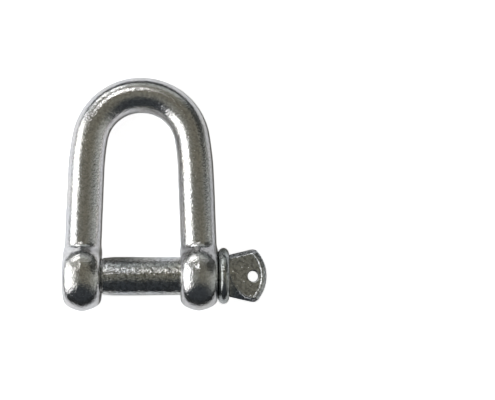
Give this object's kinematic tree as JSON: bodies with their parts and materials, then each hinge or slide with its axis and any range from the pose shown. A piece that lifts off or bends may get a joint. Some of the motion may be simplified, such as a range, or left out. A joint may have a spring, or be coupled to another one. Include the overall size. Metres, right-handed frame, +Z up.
{
  "type": "dee shackle",
  "caption": "Forged steel dee shackle: a D-shaped bow with round eyes, closed by a right-hand screw pin that has a collar and a flat, drilled head.",
  "frame": {"origin": "on the surface that the shackle lies on, under the middle of the whole shackle's bounding box", "axes": "+X along the pin towards its head, +Y from the pin towards the crown of the bow, +Z up, square to the surface"},
  "size_m": [0.0666, 0.0774, 0.0231],
  "materials": {
    "bow_steel": "bright zinc plate over a forging, glossy, with a fine orange-peel grain",
    "pin_steel": "bright zinc plate, glossy, with a coarser grain than the bow's",
    "collar_steel": "bright zinc plate, glossy and slightly uneven"
  },
  "bodies": {
    "bow": {"bow": "bow_steel"},
    "collar": {"pin_collar": "collar_steel"},
    "pin": {"screw_pin": "pin_steel"}
  },
  "joints": [
    {"name": "pin_travel", "type": "slide", "parent": "bow", "child": "collar", "axis": [1, 0, 0], "range_m": [0, 0.0525]},
    {"name": "pin_turn", "type": "hinge", "parent": "collar", "child": "pin", "pos_m": [0, -0.02721, 0.01158], "axis": [1, 0, 0], "range_deg": [0, 10801]}
  ],
  "couplings": [
    {"joint": "pin_turn", "follows": "pin_travel", "rad_per_m": 3590.4}
  ]
}
